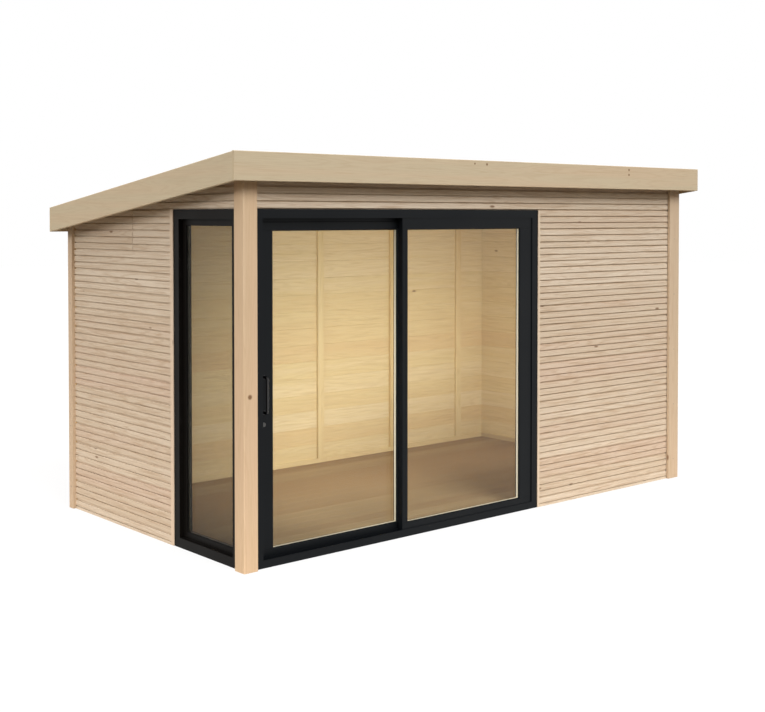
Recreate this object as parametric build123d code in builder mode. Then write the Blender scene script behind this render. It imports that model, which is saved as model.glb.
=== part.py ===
from build123d import *

import os

# Garden shed with a single-pitch roof, an aluminium sliding door set and a fixed side window.
# Millimetres. +Z is up, the door faces -Y and the origin is at ground level, at the centre
# of the roof's outline.

os.makedirs("parts", exist_ok=True)

# Overall sizes, over the faces of the corner timbers
shed_width = 4100
shed_depth = 2170

# Roof
fascia_height = 168
fascia_thickness = 20
fascia_edge_radius = 4
roof_fall = 306
side_overhang = 120
front_overhang = 85
rear_overhang = 30
covering_below_fascia = 8
covering_thickness = 5
deck_thickness = 18

# Rafters and the studs of the back wall, on one module
rafter_width = 45
rafter_depth = 95
rafter_pocket_clearance = 1
bay_module = 775
first_bay = 625
bay_lines = 5
stud_width = 60
stud_thickness = 20
stud_top_clearance = 5

# Walls and corners
wall_thickness = 44
cladding_recess = 20
post_side = 95
post_edge_radius = 6
corner_board_front = 120
corner_board_side = 60
corner_board_radius = 3
trim_width = 20
window_trim_width = 34

# Floor
bearer_height = 28
bearer_width = 95
bearer_count = 10
floor_thickness = 19
floor_wall_gap = 2
skirting_height = 35
skirting_thickness = 12

# Openings for the door set and the side window, and the slats that show above them
frame_recess = 25
door_width = 2400
window_width = 705
frame_height = 2090
header_show = 156

# Door frame: outer lip, channel of the fixed sash, web, channel of the sliding sash, inner lip
lip_thickness = 6
web_thickness = 5
running_gap = 5
jamb_face = 56
head_face = 54
channel_depth = 16
pocket_depth = 31
sill_base = 12
track_width = 4
track_rise = 8

# Sashes
sash_thickness = 40
lock_stile_width = 136
meeting_stile_width = 46
sash_underside = 25
bottom_rail_height = 64
top_rail_show = 72
meeting_stile_offset = 1140
shadow_gap = 23
tongue_thickness = 20
tongue_engagement = 11
sash_edge_radius = 2
glazing_bevel = 5

# Glazing
glass_thickness = 24
glass_bite = 12
glass_edge_gap = 3

# Rollers under the sliding sash
roller_radius = 12
roller_width = 10
roller_groove_depth = 2
roller_axle_radius = 4
roller_pocket_width = 14
roller_pocket_margin = 4
roller_inset = 150
roller_track_gap = 0.3

# Handle and lock on the lock stile
handle_height = 1003
handle_length = 226
handle_bar_radius = 9
handle_standoff = 40
handle_foot_radius = 13
handle_foot_thickness = 5
lock_below_handle = 175
lock_radius = 13
lock_thickness = 6
lock_edge_chamfer = 1
keyway_width = 3
keyway_length = 10
keyway_depth = 4

# Window frame: an outer flange and, stepped back, the ring that holds the glass
window_face = 60
window_step = 37
window_step_depth = 33
window_frame_depth = 70

# Outer faces of the corner timbers and of the roof
left_face = -shed_width / 2
right_face = shed_width / 2
roof_length = front_overhang + shed_depth + rear_overhang
front_face = -roof_length / 2 + front_overhang
rear_face = front_face + shed_depth
roof_left = left_face - side_overhang
roof_right = right_face + side_overhang
roof_front = front_face - front_overhang
roof_rear = rear_face + rear_overhang
roof_slope = roof_fall / roof_length
fascia_top_height = frame_height + header_show + fascia_height

# Faces of the walls and the floor
cladding_left = left_face + cladding_recess
cladding_right = right_face - cladding_recess
cladding_front = front_face + cladding_recess
cladding_rear = rear_face - cladding_recess
inside_left = cladding_left + wall_thickness
inside_right = cladding_right - wall_thickness
inside_front = cladding_front + wall_thickness
inside_rear = cladding_rear - wall_thickness
floor_top = bearer_height + floor_thickness
skirting_top = floor_top + skirting_height

# Edges of the openings and of the planed strips beside them
door_left = left_face + post_side
door_right = door_left + door_width
door_trim_right = door_right + trim_width
window_front = front_face + post_side
window_rear = window_front + window_width
window_trim_rear = window_rear + window_trim_width

# Planes of the door frame, from its outer face inwards
frame_front = front_face + frame_recess
fixed_front = frame_front + lip_thickness
fixed_rear = fixed_front + sash_thickness
web_rear = fixed_rear + web_thickness
sliding_front = web_rear + running_gap
sliding_rear = sliding_front + sash_thickness
inner_lip_front = sliding_rear + running_gap
frame_rear = inner_lip_front + lip_thickness
fixed_centre = (fixed_front + fixed_rear) / 2
sliding_centre = (sliding_front + sliding_rear) / 2

# Heights and edges inside the door frame
opening_left = door_left + jamb_face
opening_right = door_right - jamb_face
head_underside = frame_height - head_face
glass_low = sash_underside + bottom_rail_height
glass_high = head_underside - top_rail_show
fixed_top = head_underside + channel_depth
sliding_top = head_underside - shadow_gap
tongue_top = head_underside + tongue_engagement
track_top = sill_base + track_rise
fixed_left = door_left + meeting_stile_offset
fixed_right = opening_right + channel_depth
sliding_left = opening_left - pocket_depth + running_gap
sliding_right = fixed_left + meeting_stile_width
lock_stile_centre = sliding_left + lock_stile_width / 2

# Planes of the window frame, from its outer face inwards
window_outer = left_face + frame_recess
window_ring = window_outer + window_step_depth
window_inner = window_outer + window_frame_depth
window_glass_centre = (window_ring + window_inner) / 2
window_sightline = window_face + window_step
pane_front = window_front + window_sightline
pane_rear = window_rear - window_sightline
pane_low = window_sightline
pane_high = frame_height - window_sightline

# Edges of the roof deck, inside the four fascias
deck_left = roof_left + fascia_thickness
deck_right = roof_right - fascia_thickness
deck_front = roof_front + fascia_thickness
deck_rear = roof_rear - fascia_thickness

rafter_lines = [left_face + first_bay + bay_module * i for i in range(bay_lines)]


def fascia_top(y):
    """Height of the fascias' upper edge at a place along Y."""
    return fascia_top_height - (y - roof_front) * roof_slope


def fascia_underside(y):
    """Height of the side fascias' lower edge."""
    return fascia_top(y) - fascia_height


def covering_top(y):
    """Height of the covering's upper face, a little below the fascias' upper edge."""
    return fascia_top(y) - covering_below_fascia


def deck_top(y):
    """Height of the roof deck's upper face, under the covering."""
    return covering_top(y) - covering_thickness


def deck_underside(y):
    """Height of the roof deck's lower face, on which walls and rafters meet it."""
    return deck_top(y) - deck_thickness


def rafter_underside(y):
    """Height of the rafters' lower edge."""
    return deck_underside(y) - rafter_depth


def sloping_strip(y_low, y_high, lower, upper):
    """Corners in YZ of a strip under the roof between two heights that follow its slope."""
    return [(y_low, lower(y_low)), (y_high, lower(y_high)), (y_high, upper(y_high)), (y_low, upper(y_low))]


def wall_outline(y_low, y_high, foot):
    """Corners in YZ of a wall that stands on the height foot and meets the roof deck."""
    return sloping_strip(y_low, y_high, lambda y: foot, deck_underside)


# Corner post between the door set and the side window, with its outer edge eased
with BuildPart() as front_left_post:
    with BuildSketch():
        with Locations((left_face + post_side / 2, front_face + post_side / 2)):
            Rectangle(post_side, post_side)
    extrude(amount=deck_underside(front_face + post_side))
    outer_edge = front_left_post.edges().filter_by(Axis.Z).sort_by(lambda e: e.center().X + e.center().Y)[0]
    fillet(outer_edge, post_edge_radius)
front_left_post.part.label = "front_left_post"
export_step(front_left_post.part, "parts/front_left_post.step")

# Two boards cap each slatted corner: an L in plan that laps over both claddings
slatted_corners = (
    ("front_right_corner", right_face, -1, front_face, 1),
    ("rear_left_corner", left_face, 1, rear_face, -1),
    ("rear_right_corner", right_face, -1, rear_face, -1),
)
for node, x_face, x_inward, y_face, y_inward in slatted_corners:
    with BuildPart() as corner_boards:
        with BuildSketch():
            with BuildLine():
                Polyline(
                    (x_face, y_face),
                    (x_face + x_inward * corner_board_front, y_face),
                    (x_face + x_inward * corner_board_front, y_face + y_inward * cladding_recess),
                    (x_face + x_inward * cladding_recess, y_face + y_inward * cladding_recess),
                    (x_face + x_inward * cladding_recess, y_face + y_inward * corner_board_side),
                    (x_face, y_face + y_inward * corner_board_side),
                    close=True,
                )
            make_face()
        extrude(amount=deck_underside(max(y_face, y_face + y_inward * corner_board_side)))
        uprights = corner_boards.edges().filter_by(Axis.Z)
        fillet(
            uprights.sort_by(lambda e: x_inward * e.center().X + y_inward * e.center().Y)[0],
            corner_board_radius,
        )
    corner_boards.part.label = node
    export_step(corner_boards.part, f"parts/{node}.step")

# Slatted walls under the sloping deck: the header spans from the corner post to the front
# wall, the side walls stand between front and back, and each rafter that crosses has a pocket
slatted_walls = (
    ("front_wall", door_trim_right, cladding_right, cladding_front, inside_front, 0),
    ("door_header", door_left, door_trim_right, cladding_front, inside_front, frame_height),
    ("back_wall", cladding_left, cladding_right, inside_rear, cladding_rear, 0),
    ("left_wall", cladding_left, inside_left, window_trim_rear, inside_rear, 0),
    ("window_header", cladding_left, inside_left, window_front, window_trim_rear, frame_height),
    ("right_wall", inside_right, cladding_right, inside_front, inside_rear, 0),
)
half_pocket = rafter_width / 2 + rafter_pocket_clearance
for node, x_low, x_high, y_low, y_high, foot in slatted_walls:
    with BuildPart() as wall:
        with BuildSketch(Plane.YZ.offset(x_low)):
            with BuildLine():
                Polyline(*wall_outline(y_low, y_high, foot), close=True)
            make_face()
        extrude(amount=x_high - x_low)
        for x in rafter_lines:
            if x_low < x - half_pocket and x + half_pocket < x_high:
                with BuildSketch(Plane.YZ.offset(x - half_pocket)):
                    with BuildLine():
                        Polyline(*sloping_strip(y_low, y_high, rafter_underside, deck_top), close=True)
                    make_face()
                extrude(amount=2 * half_pocket, mode=Mode.SUBTRACT)
    wall.part.label = node
    export_step(wall.part, f"parts/{node}.step")

# Planed strips that close the slats beside the door and beside the window
planed_strips = (
    ("door_trim", door_right, door_trim_right, cladding_front, inside_front),
    ("window_trim", cladding_left, inside_left, window_rear, window_trim_rear),
)
for node, x_low, x_high, y_low, y_high in planed_strips:
    with BuildPart() as strip:
        with BuildSketch():
            with Locations(((x_low + x_high) / 2, (y_low + y_high) / 2)):
                Rectangle(x_high - x_low, y_high - y_low)
        extrude(amount=frame_height)
    strip.part.label = node
    export_step(strip.part, f"parts/{node}.step")

# Studs on the back wall's inner face, one under each rafter, standing on the skirting
with BuildPart() as back_wall_studs:
    with BuildSketch(Plane.XY.offset(skirting_top)):
        with Locations(*[(x, inside_rear - stud_thickness / 2) for x in rafter_lines]):
            Rectangle(stud_width, stud_thickness)
    extrude(amount=rafter_underside(inside_rear) - stud_top_clearance - skirting_top)
back_wall_studs.part.label = "back_wall_studs"
export_step(back_wall_studs.part, "parts/back_wall_studs.step")

# Flat bearers that lie front to back, evenly spaced under the floor
bearers_left = window_inner + floor_wall_gap
bearers_right = inside_right - floor_wall_gap
bearers_front = frame_rear + floor_wall_gap
bearers_rear = inside_rear - floor_wall_gap
with BuildPart() as floor_bearers:
    with BuildSketch():
        with Locations(((bearers_left + bearers_right) / 2, (bearers_front + bearers_rear) / 2)):
            spacing = (bearers_right - bearers_left - bearer_width) / (bearer_count - 1)
            with GridLocations(spacing, 0, bearer_count, 1):
                Rectangle(bearer_width, bearers_rear - bearers_front)
    extrude(amount=bearer_height)
floor_bearers.part.label = "floor_bearers"
export_step(floor_bearers.part, "parts/floor_bearers.step")

# The floor runs up to the walls and is cut out round the door frame and the window frame
with BuildPart() as floor_deck:
    with BuildSketch(Plane.XY.offset(bearer_height)):
        with BuildLine():
            Polyline(
                (window_inner, frame_rear),
                (door_right, frame_rear),
                (door_right, inside_front),
                (inside_right, inside_front),
                (inside_right, inside_rear),
                (inside_left, inside_rear),
                (inside_left, window_rear),
                (window_inner, window_rear),
                close=True,
            )
        make_face()
    extrude(amount=floor_thickness)
floor_deck.part.label = "floor_deck"
export_step(floor_deck.part, "parts/floor_deck.step")

# Skirting round the walls, from the window to the door
with BuildPart() as skirting:
    with BuildSketch(Plane.XY.offset(floor_top)):
        with BuildLine():
            Polyline(
                (inside_left, window_trim_rear),
                (inside_left, inside_rear),
                (inside_right, inside_rear),
                (inside_right, inside_front),
                (door_trim_right, inside_front),
                (door_trim_right, inside_front + skirting_thickness),
                (inside_right - skirting_thickness, inside_front + skirting_thickness),
                (inside_right - skirting_thickness, inside_rear - skirting_thickness),
                (inside_left + skirting_thickness, inside_rear - skirting_thickness),
                (inside_left + skirting_thickness, window_trim_rear),
                close=True,
            )
        make_face()
    extrude(amount=skirting_height)
skirting.part.label = "skirting"
export_step(skirting.part, "parts/skirting.step")

# Rafters, front to back through the pockets in the walls, from fascia to fascia
with BuildPart() as rafters:
    for x in rafter_lines:
        with BuildSketch(Plane.YZ.offset(x - rafter_width / 2)):
            with BuildLine():
                Polyline(*sloping_strip(deck_front, deck_rear, rafter_underside, deck_underside), close=True)
            make_face()
        extrude(amount=rafter_width)
rafters.part.label = "rafters"
export_step(rafters.part, "parts/rafters.step")

# Roof deck, and the covering that lies on it
with BuildPart() as roof_deck:
    with BuildSketch(Plane.YZ.offset(deck_left)):
        with BuildLine():
            Polyline(*sloping_strip(deck_front, deck_rear, deck_underside, deck_top), close=True)
        make_face()
    extrude(amount=deck_right - deck_left)
roof_deck.part.label = "roof_deck"
export_step(roof_deck.part, "parts/roof_deck.step")

with BuildPart() as roof_covering:
    with BuildSketch(Plane.YZ.offset(deck_left)):
        with BuildLine():
            Polyline(*sloping_strip(deck_front, deck_rear, deck_top, covering_top), close=True)
        make_face()
    extrude(amount=deck_right - deck_left)
roof_covering.part.label = "roof_covering"
export_step(roof_covering.part, "parts/roof_covering.step")

# Front and rear fascias over the whole width, with their outer long edges eased
cross_fascias = (
    ("fascia_front", roof_front, -1, fascia_top(roof_front)),
    ("fascia_rear", roof_rear, 1, fascia_top(roof_rear)),
)
for node, y_outer, outward, top in cross_fascias:
    with BuildPart() as fascia:
        with BuildSketch(Plane.YZ.offset(roof_left)):
            with Locations((y_outer - outward * fascia_thickness / 2, top - fascia_height / 2)):
                Rectangle(fascia_thickness, fascia_height)
        extrude(amount=roof_right - roof_left)
        long_edges = fascia.edges().filter_by(Axis.X)
        fillet(long_edges.sort_by(lambda e: -outward * e.center().Y)[:2], fascia_edge_radius)
    fascia.part.label = node
    export_step(fascia.part, f"parts/{node}.step")

# Side fascias slope down between them
side_fascias = (("fascia_left", roof_left, deck_left, 1), ("fascia_right", deck_right, roof_right, -1))
for node, x_low, x_high, inward in side_fascias:
    with BuildPart() as fascia:
        with BuildSketch(Plane.YZ.offset(x_low)):
            with BuildLine():
                Polyline(*sloping_strip(deck_front, deck_rear, fascia_underside, fascia_top), close=True)
            make_face()
        extrude(amount=x_high - x_low)
        sloping_edges = fascia.edges().sort_by(Edge.length)[-4:]
        fillet(sloping_edges.sort_by(lambda e: inward * e.center().X)[:2], fascia_edge_radius)
    fascia.part.label = node
    export_step(fascia.part, f"parts/{node}.step")

# Door jambs, with the fixed sash's channel and the sliding sash's deeper pocket
for node, x_outer, inward in (("door_jamb_left", door_left, 1), ("door_jamb_right", door_right, -1)):
    x_inner = x_outer + inward * jamb_face
    x_channel = x_inner - inward * channel_depth
    x_pocket = x_inner - inward * pocket_depth
    with BuildPart() as door_jamb:
        with BuildSketch():
            with BuildLine():
                Polyline(
                    (x_outer, frame_front),
                    (x_inner, frame_front),
                    (x_inner, fixed_front),
                    (x_channel, fixed_front),
                    (x_channel, fixed_rear),
                    (x_inner, fixed_rear),
                    (x_inner, web_rear),
                    (x_pocket, web_rear),
                    (x_pocket, inner_lip_front),
                    (x_inner, inner_lip_front),
                    (x_inner, frame_rear),
                    (x_outer, frame_rear),
                    close=True,
                )
            make_face()
        extrude(amount=frame_height)
    door_jamb.part.label = node
    export_step(door_jamb.part, f"parts/{node}.step")

# Head between the jambs: the sliding sash's tongue runs in its inner channel
tongue_channel_half = tongue_thickness / 2 + running_gap
with BuildPart() as door_head:
    with BuildSketch(Plane.YZ.offset(opening_left)):
        with BuildLine():
            Polyline(
                (frame_front, head_underside),
                (fixed_front, head_underside),
                (fixed_front, fixed_top),
                (fixed_rear, fixed_top),
                (fixed_rear, head_underside),
                (sliding_centre - tongue_channel_half, head_underside),
                (sliding_centre - tongue_channel_half, fixed_top),
                (sliding_centre + tongue_channel_half, fixed_top),
                (sliding_centre + tongue_channel_half, head_underside),
                (frame_rear, head_underside),
                (frame_rear, frame_height),
                (frame_front, frame_height),
                close=True,
            )
        make_face()
    extrude(amount=opening_right - opening_left)
door_head.part.label = "door_head"
export_step(door_head.part, "parts/door_head.step")

# Sill between the jambs, flush with the floor, with the track that the rollers run on
with BuildPart() as door_sill:
    with BuildSketch(Plane.YZ.offset(opening_left)):
        with BuildLine():
            Polyline(
                (frame_front, 0),
                (frame_rear, 0),
                (frame_rear, floor_top),
                (inner_lip_front, floor_top),
                (inner_lip_front, sill_base),
                (sliding_centre + track_width / 2, sill_base),
                (sliding_centre + track_width / 2, track_top),
                (sliding_centre - track_width / 2, track_top),
                (sliding_centre - track_width / 2, sill_base),
                (web_rear, sill_base),
                (web_rear, floor_top),
                (fixed_rear, floor_top),
                (fixed_rear, sash_underside),
                (fixed_front, sash_underside),
                (fixed_front, floor_top),
                (frame_front, floor_top),
                close=True,
            )
        make_face()
    extrude(amount=opening_right - opening_left)
door_sill.part.label = "door_sill"
export_step(door_sill.part, "parts/door_sill.step")

# Each sash has full-width rails with two stiles between them, all grooved for the glass.
# The fixed sash stands on the outer channel and the sliding sash runs behind it
fixed_sash = ("fixed", fixed_left, fixed_right, fixed_centre, fixed_top)
sliding_sash = ("sliding", sliding_left, sliding_right, sliding_centre, sliding_top)
sash_stiles = {
    "fixed": (("meeting_stile", meeting_stile_width), ("outer_stile", lock_stile_width)),
    "sliding": (("lock_stile", lock_stile_width), ("meeting_stile", meeting_stile_width)),
}
roller_places = (sliding_left + roller_inset, sliding_right - roller_inset)
roller_height = track_top + roller_track_gap + roller_radius - roller_groove_depth
roller_pocket_length = 2 * (roller_radius + roller_pocket_margin)
roller_pocket_top = roller_height + roller_radius + roller_pocket_margin

for sash, sash_left, sash_right, centre, rail_top in (fixed_sash, sliding_sash):
    (left_stile, left_width), (right_stile, right_width) = sash_stiles[sash]
    glass_left = sash_left + left_width
    glass_right = sash_right - right_width
    glass_middle = ((glass_left + glass_right) / 2, (glass_low + glass_high) / 2)
    glass_wide = glass_right - glass_left
    glass_tall = glass_high - glass_low
    glass_rear_plane = Plane.XZ.offset(-centre - glass_thickness / 2)
    bevel_plane = Plane.XZ.offset(-centre + sash_thickness / 2 - glazing_bevel)

    # The space cut for the glass: its bite into all four members with room at its edges,
    # and the bevelled mouth in front of it
    with BuildPart() as glass_space:
        with BuildSketch(glass_rear_plane):
            with Locations((glass_middle[0], glass_middle[1] + glass_edge_gap / 2)):
                Rectangle(
                    glass_wide + 2 * (glass_bite + glass_edge_gap),
                    glass_tall + 2 * glass_bite + glass_edge_gap,
                )
        extrude(amount=glass_thickness)
        with BuildSketch(bevel_plane):
            with Locations(glass_middle):
                Rectangle(glass_wide, glass_tall)
        extrude(amount=glazing_bevel, taper=-45)

    # A double-glazed unit that stands on the bottom rail's groove
    with BuildPart() as sash_glass:
        with BuildSketch(glass_rear_plane):
            with Locations(glass_middle):
                Rectangle(glass_wide + 2 * glass_bite, glass_tall + 2 * glass_bite)
        extrude(amount=glass_thickness)
    sash_glass.part.label = f"{sash}_sash_glass"
    export_step(sash_glass.part, f"parts/{sash}_sash_glass.step")

    stiles = ((left_stile, sash_left, glass_left), (right_stile, glass_right, sash_right))
    for stile, x_low, x_high in stiles:
        with BuildPart() as sash_stile:
            with BuildSketch(Plane.XY.offset(glass_low)):
                with Locations(((x_low + x_high) / 2, centre)):
                    RectangleRounded(x_high - x_low, sash_thickness, sash_edge_radius)
            extrude(amount=glass_tall)
            add(glass_space.part, mode=Mode.SUBTRACT)
        sash_stile.part.label = f"{sash}_sash_{stile}"
        export_step(sash_stile.part, f"parts/{sash}_sash_{stile}.step")

    with BuildPart() as sash_top_rail:
        with BuildSketch(Plane.YZ.offset(sash_left)):
            with Locations((centre, (glass_high + rail_top) / 2)):
                RectangleRounded(sash_thickness, rail_top - glass_high, sash_edge_radius)
        extrude(amount=sash_right - sash_left)
        add(glass_space.part, mode=Mode.SUBTRACT)
        if sash == "sliding":
            with BuildSketch(Plane.XY.offset(rail_top)):
                with Locations(((sash_left + sash_right) / 2, centre)):
                    Rectangle(sash_right - sash_left, tongue_thickness)
            extrude(amount=tongue_top - rail_top)
    sash_top_rail.part.label = f"{sash}_sash_top_rail"
    export_step(sash_top_rail.part, f"parts/{sash}_sash_top_rail.step")

    with BuildPart() as sash_bottom_rail:
        with BuildSketch(Plane.YZ.offset(sash_left)):
            with Locations((centre, (sash_underside + glass_low) / 2)):
                RectangleRounded(sash_thickness, bottom_rail_height, sash_edge_radius)
        extrude(amount=sash_right - sash_left)
        add(glass_space.part, mode=Mode.SUBTRACT)
        if sash == "sliding":
            with BuildSketch(Plane.XY.offset(sash_underside)):
                with Locations(*[(x, centre) for x in roller_places]):
                    Rectangle(roller_pocket_length, roller_pocket_width)
            extrude(amount=roller_pocket_top - sash_underside, mode=Mode.SUBTRACT)
    sash_bottom_rail.part.label = f"{sash}_sash_bottom_rail"
    export_step(sash_bottom_rail.part, f"parts/{sash}_sash_bottom_rail.step")

# Grooved rollers on short axles, held between the walls of their pockets
with BuildPart() as sash_rollers:
    for x in roller_places:
        with BuildSketch(Plane((x, sliding_centre, roller_height), x_dir=(0, 1, 0), z_dir=(1, 0, 0))):
            with BuildLine():
                half_groove = track_width / 2 + roller_track_gap
                Polyline(
                    (-roller_pocket_width / 2, 0),
                    (-roller_pocket_width / 2, roller_axle_radius),
                    (-roller_width / 2, roller_axle_radius),
                    (-roller_width / 2, roller_radius),
                    (-half_groove, roller_radius),
                    (-half_groove, roller_radius - roller_groove_depth),
                    (half_groove, roller_radius - roller_groove_depth),
                    (half_groove, roller_radius),
                    (roller_width / 2, roller_radius),
                    (roller_width / 2, roller_axle_radius),
                    (roller_pocket_width / 2, roller_axle_radius),
                    (roller_pocket_width / 2, 0),
                    close=True,
                )
            make_face()
        revolve(axis=Axis((x, sliding_centre, roller_height), (0, 1, 0)))
sash_rollers.part.label = "sash_rollers"
export_step(sash_rollers.part, "parts/sash_rollers.step")

# Pull handle: a bar bent back at both ends onto round feet on the lock stile
handle_low = handle_height - handle_length / 2 + handle_bar_radius
handle_high = handle_height + handle_length / 2 - handle_bar_radius
handle_bar_y = sliding_front - handle_standoff
handle_foot_y = sliding_front - handle_foot_thickness
with BuildPart() as door_handle:
    with BuildLine() as bar_path:
        FilletPolyline(
            (lock_stile_centre, handle_foot_y, handle_low),
            (lock_stile_centre, handle_bar_y, handle_low),
            (lock_stile_centre, handle_bar_y, handle_high),
            (lock_stile_centre, handle_foot_y, handle_high),
            radius=2 * handle_bar_radius,
        )
    with BuildSketch(Plane(origin=(lock_stile_centre, handle_foot_y, handle_low), z_dir=(0, -1, 0))):
        Circle(handle_bar_radius)
    sweep(path=bar_path.line)
    for foot_height in (handle_low, handle_high):
        with BuildSketch(Plane(origin=(lock_stile_centre, sliding_front, foot_height), z_dir=(0, -1, 0))):
            Circle(handle_foot_radius)
        extrude(amount=handle_foot_thickness)
door_handle.part.label = "door_handle"
export_step(door_handle.part, "parts/door_handle.step")

# Lock cylinder below the handle, with its keyway
lock_height = handle_height - lock_below_handle
lock_plane = Plane(origin=(lock_stile_centre, sliding_front, lock_height), z_dir=(0, -1, 0))
with BuildPart() as lock_cylinder:
    with BuildSketch(lock_plane):
        Circle(lock_radius)
    extrude(amount=lock_thickness)
    chamfer(lock_cylinder.faces().sort_by(Axis.Y)[0].edges(), lock_edge_chamfer)
    with BuildSketch(lock_plane.offset(lock_thickness)):
        Rectangle(keyway_width, keyway_length)
    extrude(amount=-keyway_depth, mode=Mode.SUBTRACT)
lock_cylinder.part.label = "lock_cylinder"
export_step(lock_cylinder.part, "parts/lock_cylinder.step")

# The side window's glass, and the space cut for it in the four frame members
pane_middle = ((pane_front + pane_rear) / 2, (pane_low + pane_high) / 2)
window_glass_plane = Plane.YZ.offset(window_glass_centre - glass_thickness / 2)
with BuildPart() as window_glass:
    with BuildSketch(window_glass_plane):
        with Locations(pane_middle):
            Rectangle(pane_rear - pane_front + 2 * glass_bite, pane_high - pane_low + 2 * glass_bite)
    extrude(amount=glass_thickness)
window_glass.part.label = "window_glass"
export_step(window_glass.part, "parts/window_glass.step")

with BuildPart() as window_glass_space:
    with BuildSketch(window_glass_plane):
        with Locations((pane_middle[0], pane_middle[1] + glass_edge_gap / 2)):
            Rectangle(
                pane_rear - pane_front + 2 * (glass_bite + glass_edge_gap),
                pane_high - pane_low + 2 * glass_bite + glass_edge_gap,
            )
    extrude(amount=glass_thickness)

# Full-height window jambs, stepped in plan
for node, y_outer, inward in (("window_jamb_front", window_front, 1), ("window_jamb_rear", window_rear, -1)):
    with BuildPart() as window_jamb:
        with BuildSketch():
            with BuildLine():
                Polyline(
                    (window_outer, y_outer),
                    (window_outer, y_outer + inward * window_face),
                    (window_ring, y_outer + inward * window_face),
                    (window_ring, y_outer + inward * window_sightline),
                    (window_inner, y_outer + inward * window_sightline),
                    (window_inner, y_outer),
                    close=True,
                )
            make_face()
        extrude(amount=frame_height)
        add(window_glass_space.part, mode=Mode.SUBTRACT)
    window_jamb.part.label = node
    export_step(window_jamb.part, f"parts/{node}.step")

# The window's sill and head: a flange and a ring that fit between the stepped jambs
window_rails = (
    ("window_sill", 0, window_face, 0, pane_low),
    ("window_head", frame_height - window_face, frame_height, pane_high, frame_height),
)
for node, flange_low, flange_high, ring_low, ring_high in window_rails:
    with BuildPart() as window_rail:
        with BuildSketch(Plane.YZ.offset(window_outer)):
            with Locations((pane_middle[0], (flange_low + flange_high) / 2)):
                Rectangle(window_width - 2 * window_face, flange_high - flange_low)
        extrude(amount=window_step_depth)
        with BuildSketch(Plane.YZ.offset(window_ring)):
            with Locations((pane_middle[0], (ring_low + ring_high) / 2)):
                Rectangle(pane_rear - pane_front, ring_high - ring_low)
        extrude(amount=window_inner - window_ring)
        add(window_glass_space.part, mode=Mode.SUBTRACT)
    window_rail.part.label = node
    export_step(window_rail.part, f"parts/{node}.step")
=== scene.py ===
"""Looks of a garden shed with slatted spruce walls, an aluminium sliding door set and a side window.

Every size is in metres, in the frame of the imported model: +Z is up and the door faces -Y.
"""

import logging
import math
from collections.abc import Callable, Iterable
from dataclasses import dataclass, field
from enum import Enum

import bpy
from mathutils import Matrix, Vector

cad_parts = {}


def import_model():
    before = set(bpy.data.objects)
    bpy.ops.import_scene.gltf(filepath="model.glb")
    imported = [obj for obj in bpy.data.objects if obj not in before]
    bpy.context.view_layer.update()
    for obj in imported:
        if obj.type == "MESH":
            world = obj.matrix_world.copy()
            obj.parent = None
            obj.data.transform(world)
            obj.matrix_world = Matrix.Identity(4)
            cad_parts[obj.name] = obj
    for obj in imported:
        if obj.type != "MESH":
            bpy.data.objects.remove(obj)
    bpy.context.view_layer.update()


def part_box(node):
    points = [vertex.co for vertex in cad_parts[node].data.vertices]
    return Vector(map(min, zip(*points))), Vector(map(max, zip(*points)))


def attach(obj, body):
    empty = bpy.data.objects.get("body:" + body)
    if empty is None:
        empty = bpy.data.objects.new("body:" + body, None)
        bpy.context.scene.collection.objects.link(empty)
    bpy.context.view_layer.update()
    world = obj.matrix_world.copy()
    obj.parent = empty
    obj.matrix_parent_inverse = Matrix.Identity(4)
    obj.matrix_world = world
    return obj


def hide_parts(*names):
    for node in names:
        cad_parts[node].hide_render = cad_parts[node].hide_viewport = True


LOG = logging.getLogger("garden_shed")
MM = 0.001
SHED = "shed"
SLIDING_DOOR = "sliding_door"
# Thickness of the roof deck, measured plumb
DECK_THICKNESS = 18 * MM
# Points this near a plane lie in it
FLUSH = 0.01 * MM
# Courses are rounded up, but not for less than this share of one
COUNT_SLACK = 1e-6
# A face looks along an axis when its normal has at least this share along it
SQUARE_ON = 0.9
# Boards are numbered apart from field to field, so that no two fields have the same figure
FIELD_NUMBERS = 100
FLOOR_NUMBERS = 300
DECK_NUMBERS = 500
WHITE = (1.0, 1.0, 1.0, 1.0)

Point = tuple[float, float, float]
Colour = tuple[float, float, float, float]
Piece = bpy.types.Object
Tree = bpy.types.NodeTree
Node = bpy.types.Node
# Said of a face's centre and normal, or of an edge's two ends
Test = Callable[[Vector, Vector], bool]


class Grain(Enum):
    """Direction that the wood fibres of a piece run in."""

    ALONG_X = 0
    ALONG_Y = 1
    ALONG_Z = 2


class Facing(Enum):
    """Side of the shed that a wall's outer face looks to, with its turn about Z in degrees."""

    FRONT = 0
    RIGHT = 90
    REAR = 180
    LEFT = -90

    @property
    def runs_along_x(self) -> bool:
        """Whether a wall that looks this way runs along X."""
        return self in (Facing.FRONT, Facing.REAR)

    @property
    def outward(self) -> Vector:
        """The way it looks, as a direction."""
        turn = math.radians(self.value)
        return Vector((math.sin(turn), -math.cos(turn), 0))


class MeshPart(Enum):
    """What is chosen in a mesh, by the name that edit mode has for it."""

    FACES = "FACE"
    EDGES = "EDGE"


# Reading the frame and colours


def srgb(hex_code: str) -> Colour:
    """Turn an sRGB hex colour into linear red, green, blue and alpha.

    Args:
        hex_code: Six hex digits after a hash sign.

    Returns:
        The linear colour, opaque.
    """
    channels = (int(hex_code[i : i + 2], 16) / 255 for i in (1, 3, 5))
    linear = (c / 12.92 if c <= 0.04045 else ((c + 0.055) / 1.055) ** 2.4 for c in channels)
    return (*linear, 1.0)


def span(node: str) -> tuple[Vector, Vector]:
    """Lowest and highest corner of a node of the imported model."""
    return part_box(node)


# Working at the mesh


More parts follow.
